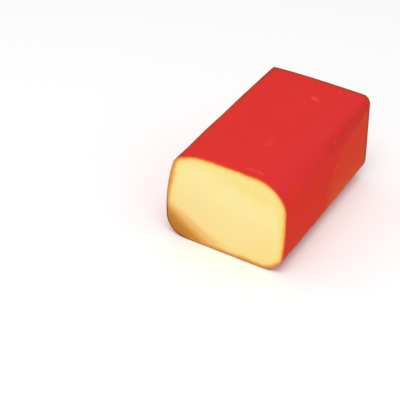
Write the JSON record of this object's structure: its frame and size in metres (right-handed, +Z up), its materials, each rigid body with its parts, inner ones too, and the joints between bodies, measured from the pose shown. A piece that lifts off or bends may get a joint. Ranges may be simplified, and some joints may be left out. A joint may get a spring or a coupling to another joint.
{
  "type": "block of edam cheese",
  "caption": "Block of mild cheese in a thin red wax rind, with a flat base to stand on, rounded shoulders, a waxed end and a bare knife-cut face for slicing.",
  "frame": {"origin": "on the resting surface, under the middle of the block's bounding box", "axes": "+Z up; +Y along the block, from the cut face (towards -Y) to the waxed end; +X across it, to the right as seen when looking at the cut face"},
  "size_m": [0.1025, 0.1624, 0.079],
  "materials": {
    "wax_rind": "satin",
    "cheese_paste": "matte"
  },
  "bodies": {
    "root": {"cheese_block": "wax_rind"}
  },
  "joints": []
}
